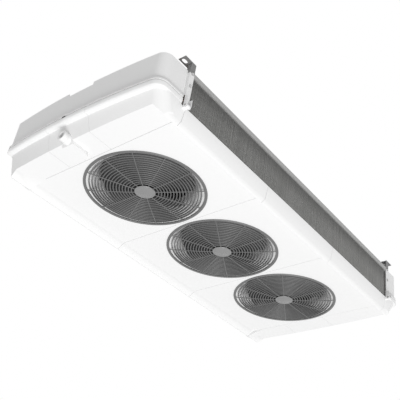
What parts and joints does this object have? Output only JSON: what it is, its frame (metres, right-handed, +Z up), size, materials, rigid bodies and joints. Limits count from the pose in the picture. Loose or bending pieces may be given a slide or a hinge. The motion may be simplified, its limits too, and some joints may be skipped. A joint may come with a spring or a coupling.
{
  "type": "ceiling_unit_cooler",
  "caption": "Slim white ceiling unit cooler for a cold room: fans under round wire guards in a hinged drip tray, fin coil along one long side, drain spout, hanging tabs",
  "frame": {"origin": "Middle of the four hanging slots, in the plane of the ceiling.", "axes": "+X along the row of fans away from the drain end, +Y away from the coil towards the rear, +Z up, normal to the ceiling."},
  "size_m": [1.51, 0.689, 0.2391],
  "materials": {
    "casing_white": "matt white moulding",
    "tray_white": "satin white moulding",
    "galvanised": "galvanised sheet",
    "fin_aluminium": "plain aluminium fins",
    "copper_tube": "plain copper tube",
    "steel": "bright zinc plated steel",
    "guard_grey": "dark grey coated wire",
    "rotor_black": "black moulded blades",
    "motor_black": "black painted motor",
    "black_plastic": "black plastic",
    "box_grey": "grey plastic box"
  },
  "bodies": {
    "root": {"roof_panel": "galvanised", "rear_panel": "casing_white", "end_cover_left": "casing_white", "end_cover_right": "casing_white", "coil_channel": "galvanised", "partition_left": "galvanised", "partition_right": "galvanised", "fin_pack": "fin_aluminium", "coil_tubes": "copper_tube", "liquid_stub": "copper_tube", "suction_stub": "copper_tube", "defrost_heater": "steel", "bracket_front_left": "galvanised", "bracket_front_right": "galvanised", "bracket_rear_left": "galvanised", "bracket_rear_right": "galvanised", "hinge_pin_left": "steel", "hinge_pin_right": "steel", "terminal_box": "box_grey", "cable_gland": "black_plastic", "bracket_screws": "steel"},
    "drip_tray": {"fan_panel_1": "tray_white", "fan_panel_2": "tray_white", "fan_panel_3": "tray_white", "tray_corner_front_left": "tray_white", "tray_corner_front_right": "tray_white", "tray_end_left": "tray_white", "tray_end_right": "tray_white", "tray_corner_rear_left": "tray_white", "tray_corner_rear_right": "tray_white", "drain_spout": "tray_white", "latch_left": "black_plastic", "latch_right": "black_plastic", "fan_guard_1": "guard_grey", "fan_guard_2": "guard_grey", "fan_guard_3": "guard_grey", "fan_stator_1": "motor_black", "fan_stator_2": "motor_black", "fan_stator_3": "motor_black"},
    "fan_1": {"fan_rotor_1": "rotor_black", "fan_shaft_1": "steel"},
    "fan_2": {"fan_rotor_2": "rotor_black", "fan_shaft_2": "steel"},
    "fan_3": {"fan_rotor_3": "rotor_black", "fan_shaft_3": "steel"}
  },
  "joints": [
    {"name": "tray_hinge", "type": "hinge", "parent": "root", "child": "drip_tray", "pos_m": [0, -0.34, -0.165], "axis": [-1, 0, 0], "range_deg": [0, 80]},
    {"name": "fan_1_spin", "type": "hinge", "parent": "drip_tray", "child": "fan_1", "pos_m": [-0.416, 0.00091, -0.18502], "axis": [0, 0.0454, 0.999], "continuous": true},
    {"name": "fan_2_spin", "type": "hinge", "parent": "drip_tray", "child": "fan_2", "pos_m": [0, 0.00091, -0.18502], "axis": [0, 0.0454, 0.999], "continuous": true},
    {"name": "fan_3_spin", "type": "hinge", "parent": "drip_tray", "child": "fan_3", "pos_m": [0.416, 0.00091, -0.18502], "axis": [0, 0.0454, 0.999], "continuous": true}
  ]
}
